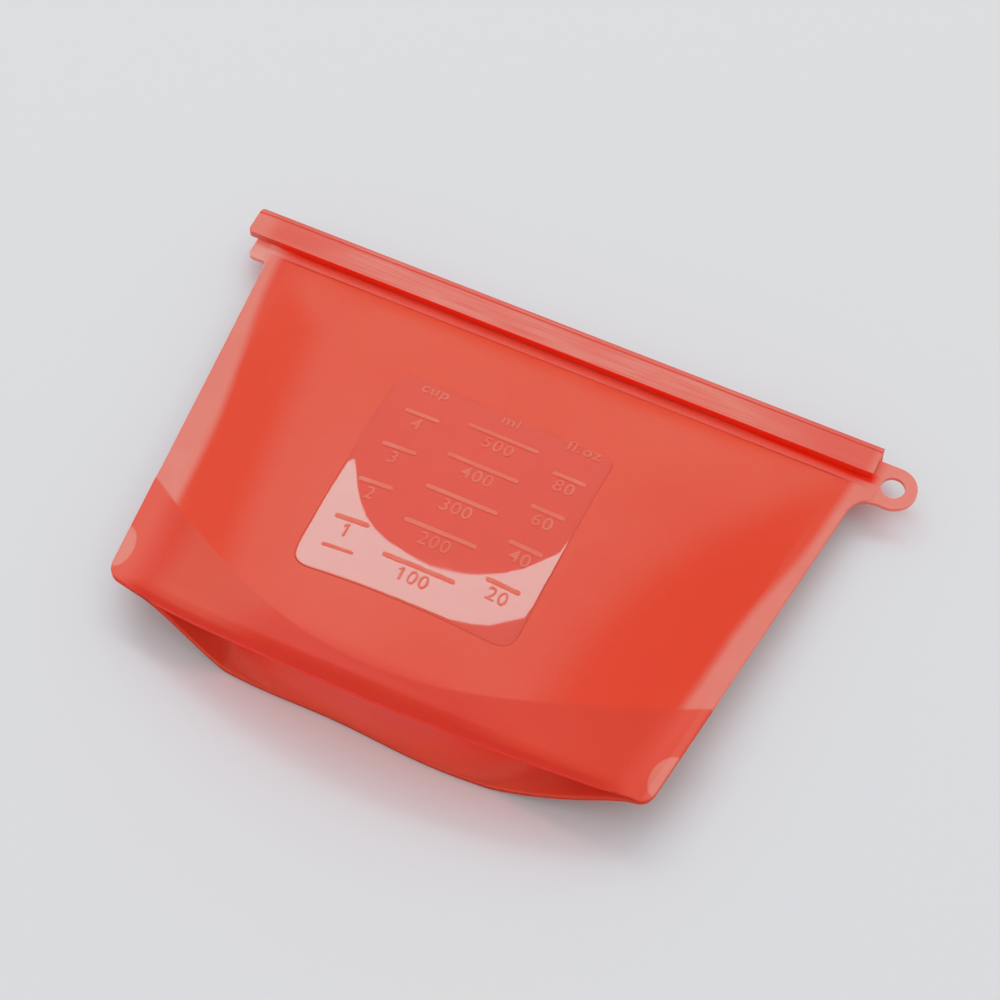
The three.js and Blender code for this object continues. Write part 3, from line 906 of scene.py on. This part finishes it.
def patch(name, outline, lift, material, rings=60, edge=0.5):
    """A shallow solid that follows the front panel, with a rounded rim, over a convex outline."""
    centre = outline.mean(axis=0)
    size = np.linalg.norm(outline - centre, axis=1).mean()
    rim = edge / size
    shares = np.append(np.linspace(0.02, 1 - rim, rings), 1 - rim * np.array([0.6, 0.25, 0.0]))
    lifts = lift * np.append(np.ones(rings), [0.9, 0.6, -0.5])
    count = len(outline)
    vertices = []
    for share, rise in zip(shares, lifts):
        vertices.append(front_surface(centre + (outline - centre) * share, rise))
    middle = front_surface([centre], lift)
    under = front_surface(centre + (outline - centre) * 0.5, -0.5 * PANEL_T)
    foot = front_surface([centre], -0.5 * PANEL_T)
    vertices = np.concatenate([middle] + vertices + [under, foot])
    under_start = 1 + len(shares) * count
    faces = []
    for ring in range(1, under_start, count):
        last = ring + count
        for i in range(count):
            j = (i + 1) % count
            if ring == 1:
                faces.append((0, ring + i, ring + j))
            faces.append((ring + i, last + i, last + j, ring + j))
    for i in range(count):
        faces.append((under_start + i, len(vertices) - 1, under_start + (i + 1) % count))
    return make_object(name, vertices, faces, material)


window_outline = divided(rounded_outline(WINDOW_CORNERS, WINDOW_RADII))
window_material = window_silicone("silicone_polished", WINDOW)
window = patch("measuring_window", window_outline, WINDOW_LIFT, window_material)

# Scale: rounded lines with numbers under them, in three columns
MARK_RISE = 0.2
TEXT_DROP = 4.5  # numbers, below their lines
TEXT_BOLDER = 0.05
HEADER_Y = 18.6
HEADER_SIZE = 6.4
NUMBER_SIZE = 6.9
TEXT_SPACING = 1.12
COLUMN_LEAN = 0.022
COLUMN_PIVOT_Y = -30
LINE_WIDTH = 1.6
HALF_LINE = (-33.5, -22.4, -52.8)  # left end, right end and y of the line for half a cup
HALF_LINE_WIDTH = 1.1
FLAG_REACH = 1.15
FLAG_ROOT = 0.75  # height at the figure
FLAG_TIP_TOP = 0.85  # the tip's upper and lower corner, from the figure's top
FLAG_TIP_FOOT = 1.4
FLAG_OVERLAP = 0.2
mark_material = marks_silicone("silicone_marks")


def raised_line(x0, x1, y, width):
    """A raised line with round ends, made of crosswise slices so that it follows the surface."""
    r = width / 2
    turns = np.radians(np.linspace(10, 90, 6))
    half_widths = r * np.sin(turns)
    end = r * (1 - np.cos(turns))
    xs = np.concatenate([x0 + end, np.linspace(x0 + r, x1 - r, 14)[1:-1], (x1 - end)[::-1]])
    halves = np.concatenate([half_widths, np.full(12, r), half_widths[::-1]])
    vertices = []
    for x, half in zip(xs, halves):
        vertices += [(x, y - half, -MARK_RISE), (x, y - half, MARK_RISE)]
        vertices += [(x, y + half, MARK_RISE), (x, y + half, -MARK_RISE)]
    faces = [(0, 1, 2, 3), tuple(len(vertices) - k for k in (1, 2, 3, 4))]
    for k in range(0, len(vertices) - 4, 4):
        for i in range(4):
            j = (i + 1) % 4
            faces.append((k + i, k + j, k + 4 + j, k + 4 + i))
    return make_object("line", vertices, faces, mark_material)


def raised(outline_object):
    """Lays a flat mesh on the polished patch, with its thickness above it."""
    for vertex in outline_object.data.vertices:
        x, y, z = np.array(vertex.co) / MM
        vertex.co.z = (front_surface([(x, y)], WINDOW_LIFT)[0][2] + z) * MM
    return outline_object


def leaned(x, y):
    """The scale's columns lean a little to the right."""
    return x + COLUMN_LEAN * (y - COLUMN_PIVOT_Y)


def flag(x, top):
    """The short stroke at the top of a figure one, which the font leaves out."""
    tip = x - FLAG_REACH
    corners = ((x, top), (x, top - FLAG_ROOT), (tip, top - FLAG_TIP_FOOT), (tip, top - FLAG_TIP_TOP))
    count = len(corners)
    vertices = [(a, b, level) for level in (-MARK_RISE, MARK_RISE) for a, b in corners]
    faces = [tuple(range(count)), tuple(range(count, 2 * count))[::-1]]
    faces += [(k, count + k, count + (k + 1) % count, (k + 1) % count) for k in range(count)]
    return make_object("flag", vertices, faces, mark_material)


def text_mark(text, x, y, size):
    """Raised text about a middle point."""
    curve = bpy.data.curves.new("mark_" + text, "FONT")
    curve.body = text
    curve.size = size * MM
    curve.align_x = "CENTER"
    curve.align_y = "CENTER"
    curve.extrude = MARK_RISE * MM
    curve.offset = TEXT_BOLDER * MM
    curve.space_character = TEXT_SPACING
    made = from_curve("mark_" + text, curve, 0, mark_material)
    for vertex in made.data.vertices:
        vertex.co.x += x * MM
        vertex.co.y += y * MM
    return made


# Heading, middle, length of the lines, first line's y, their pitch, and the numbers
COLUMNS = (
    ("cup", -28.2, 12.4, 6.6, 16.0, ("4", "3", "2", "1")),
    ("ml", -0.5, 25.6, 10.6, 14.9, ("500", "400", "300", "200", "100")),
    ("fl.oz", 26.0, 12.0, 4.9, 15.9, ("80", "60", "40", "20")),
)
marks = []
for header, centre_x, length, first_y, pitch, numbers in COLUMNS:
    marks.append(text_mark(header, centre_x, HEADER_Y, HEADER_SIZE))
    for k, number in enumerate(numbers):
        y = first_y - pitch * k
        x = leaned(centre_x, y)
        marks.append(raised_line(x - length / 2, x + length / 2, y, LINE_WIDTH))
        digits = text_mark(number, x, y - TEXT_DROP, NUMBER_SIZE)
        marks.append(digits)
        if number[0] == "1":
            corners = np.array([vertex.co for vertex in digits.data.vertices]) / MM
            marks.append(flag(corners[:, 0].min() + FLAG_OVERLAP, corners[:, 1].max()))
marks.append(raised_line(*HALF_LINE, HALF_LINE_WIDTH))
scale = raised(joined("scale_marks", marks, mark_material))
smooth_by_angle(scale.data, 30)

for piece in (front, back, gusset, front_lip, back_lip, hang_tab, end_tab, window, scale):
    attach(piece, BAG)
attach(bar, "seal_bar")

# Stage
floor_mesh = bpy.data.meshes.new("floor")
FLOOR_HALF = 3.0  # metres
floor_corners = [(x * FLOOR_HALF, y * FLOOR_HALF, 0) for x, y in ((-1, -1), (1, -1), (1, 1), (-1, 1))]
floor_mesh.from_pydata(floor_corners, [], [(0, 1, 2, 3)])
floor_mesh.materials.append(floor_material())
floor = bpy.data.objects.new("floor", floor_mesh)
bpy.context.scene.collection.objects.link(floor)


def emitter(name, outline, height, strength):
    """A flat level light. Its outline is given as it would be one metre up."""
    mesh = bpy.data.meshes.new(name)
    corners = [(x * height, y * height, height) for x, y in outline]
    mesh.from_pydata(corners, [], [tuple(range(len(corners)))])
    glow = bpy.data.materials.new(name)
    glow.use_nodes = True
    tree = glow.node_tree
    tree.nodes.remove(tree.nodes["Principled BSDF"])
    light = tree.nodes.new("ShaderNodeEmission")
    light.inputs["Strength"].default_value = strength
    tree.links.new(light.outputs[0], tree.nodes["Material Output"].inputs["Surface"])
    mesh.materials.append(glow)
    made = bpy.data.objects.new(name, mesh)
    made.visible_camera = False
    bpy.context.scene.collection.objects.link(made)


# The softbox's outline, first its edge towards the mouth and then its edge towards the camera
SOFTBOX = (
    (-0.95, 0.74), (-0.773, 0.789), (-0.635, 0.687), (-0.576, 0.655), (-0.511, 0.634),
    (-0.435, 0.622), (-0.246, 0.621), (-0.065, 0.604), (-0.01, 0.609), (0.056, 0.636), (0.2, 0.70),
    (0.2, 0.53), (0.126, 0.515), (0.09, 0.494), (0.035, 0.46), (-0.014, 0.448),
    (-0.149, 0.441), (-0.35, 0.41), (-0.95, 0.36),
)
SOFTBOX_HEIGHT = 2.5
SOFTBOX_STRENGTH = 6.0
emitter("softbox", SOFTBOX, SOFTBOX_HEIGHT, SOFTBOX_STRENGTH)

# The rest of the studio: even light from all round, and a broad soft glow from behind and above
GLOW_FROM = Vector((-0.05, 0.42, 0.9))
GLOW_EDGE = 0.45  # cosine of the angle from GLOW_FROM at which the glow ends
EVEN_STRENGTH = 0.79
GLOW_STRENGTH = 1.18
STUDIO_COLOUR = (0.985, 0.99, 1.0, 1)

world = bpy.data.worlds.new("studio")
world.use_nodes = True
tree = world.node_tree
direction = tree.nodes.new("ShaderNodeTexCoord")
towards = tree.nodes.new("ShaderNodeVectorMath")
towards.operation = "DOT_PRODUCT"
tree.links.new(direction.outputs["Generated"], towards.inputs[0])
towards.inputs[1].default_value = GLOW_FROM.normalized()
glow = tree.nodes.new("ShaderNodeMapRange")
glow.interpolation_type = "SMOOTHSTEP"
tree.links.new(towards.outputs["Value"], glow.inputs["Value"])
glow.inputs["From Min"].default_value = GLOW_EDGE
glow.inputs["From Max"].default_value = 1.0
glow.inputs["To Min"].default_value = EVEN_STRENGTH
glow.inputs["To Max"].default_value = GLOW_STRENGTH
background = tree.nodes["Background"]
background.inputs["Color"].default_value = STUDIO_COLOUR
tree.links.new(glow.outputs["Result"], background.inputs["Strength"])
bpy.context.scene.world = world

# Camera
CAMERA_AZIMUTH = math.radians(25.56)
CAMERA_ELEVATION = math.radians(58.11)
CAMERA_TARGET = Vector((5.9, -3.6, 15.0)) * MM
CAMERA_DISTANCE = 895.4 * MM
CAMERA_LENS = 97.84

camera_data = bpy.data.cameras.new("camera")
camera_data.lens = CAMERA_LENS
camera_data.sensor_width = 36
camera = bpy.data.objects.new("camera", camera_data)
back_of_view = Vector((
    math.sin(CAMERA_AZIMUTH) * math.cos(CAMERA_ELEVATION),
    -math.cos(CAMERA_AZIMUTH) * math.cos(CAMERA_ELEVATION),
    math.sin(CAMERA_ELEVATION),
))
camera.location = CAMERA_TARGET + back_of_view * CAMERA_DISTANCE
camera.rotation_euler = (-back_of_view).to_track_quat("-Z", "Y").to_euler()
bpy.context.scene.collection.objects.link(camera)
bpy.context.scene.camera = camera

# Film response: straight up to the floor's brightness, then a shoulder
view = bpy.context.scene.view_settings
view.view_transform = "Standard"
view.use_curve_mapping = True
view.curve_mapping.use_clip = False
shoulder = view.curve_mapping.curves[3]
shoulder.points[1].location = (0.72, 0.72)
for x, y in ((0.36, 0.36), (0.85, 0.76), (1.1, 0.80), (2.0, 0.86)):
    shoulder.points.new(x, y)
view.curve_mapping.update()
